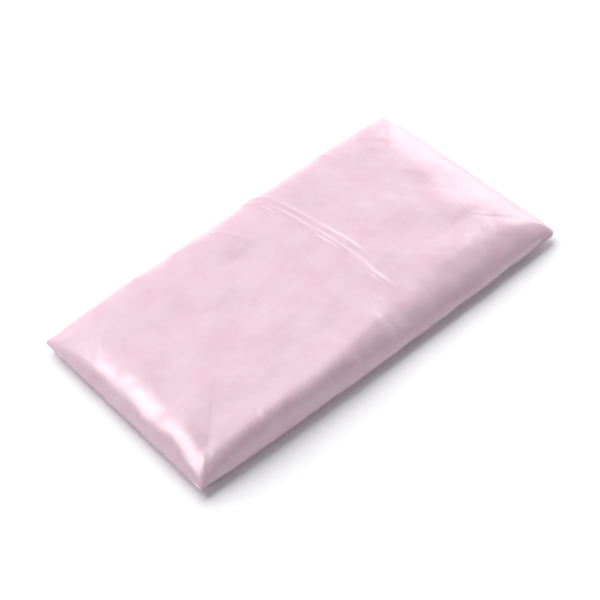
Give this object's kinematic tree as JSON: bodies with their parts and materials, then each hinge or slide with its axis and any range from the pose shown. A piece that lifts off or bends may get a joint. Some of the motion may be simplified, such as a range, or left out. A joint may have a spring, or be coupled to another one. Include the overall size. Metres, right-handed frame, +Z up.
{
  "type": "eye pillow",
  "caption": "Flat rectangular satin eye pillow with knife-edge seams, filled with loose flaxseed in an inner muslin bag.",
  "frame": {"origin": "on the surface the pillow lies on, under the middle of the pillow", "axes": "+X along the pillow, +Y across it, +Z up out of the top panel"},
  "size_m": [0.22, 0.112, 0.0177],
  "materials": {
    "satin": "glossy pale pink satin weave",
    "satin_thread": "pale pink polyester sewing thread",
    "muslin": "unbleached plain-weave cotton",
    "cotton_thread": "undyed cotton thread",
    "flaxseed": "smooth brown seed coats"
  },
  "bodies": {
    "root": {"cover_top_panel": "satin", "cover_bottom_panel": "satin", "cover_seam_thread": "satin_thread", "cover_closing_thread": "satin_thread", "liner_top_panel": "muslin", "liner_bottom_panel": "muslin", "liner_seam_thread": "cotton_thread", "liner_closing_thread": "cotton_thread", "flaxseed_fill": "flaxseed"}
  },
  "joints": []
}
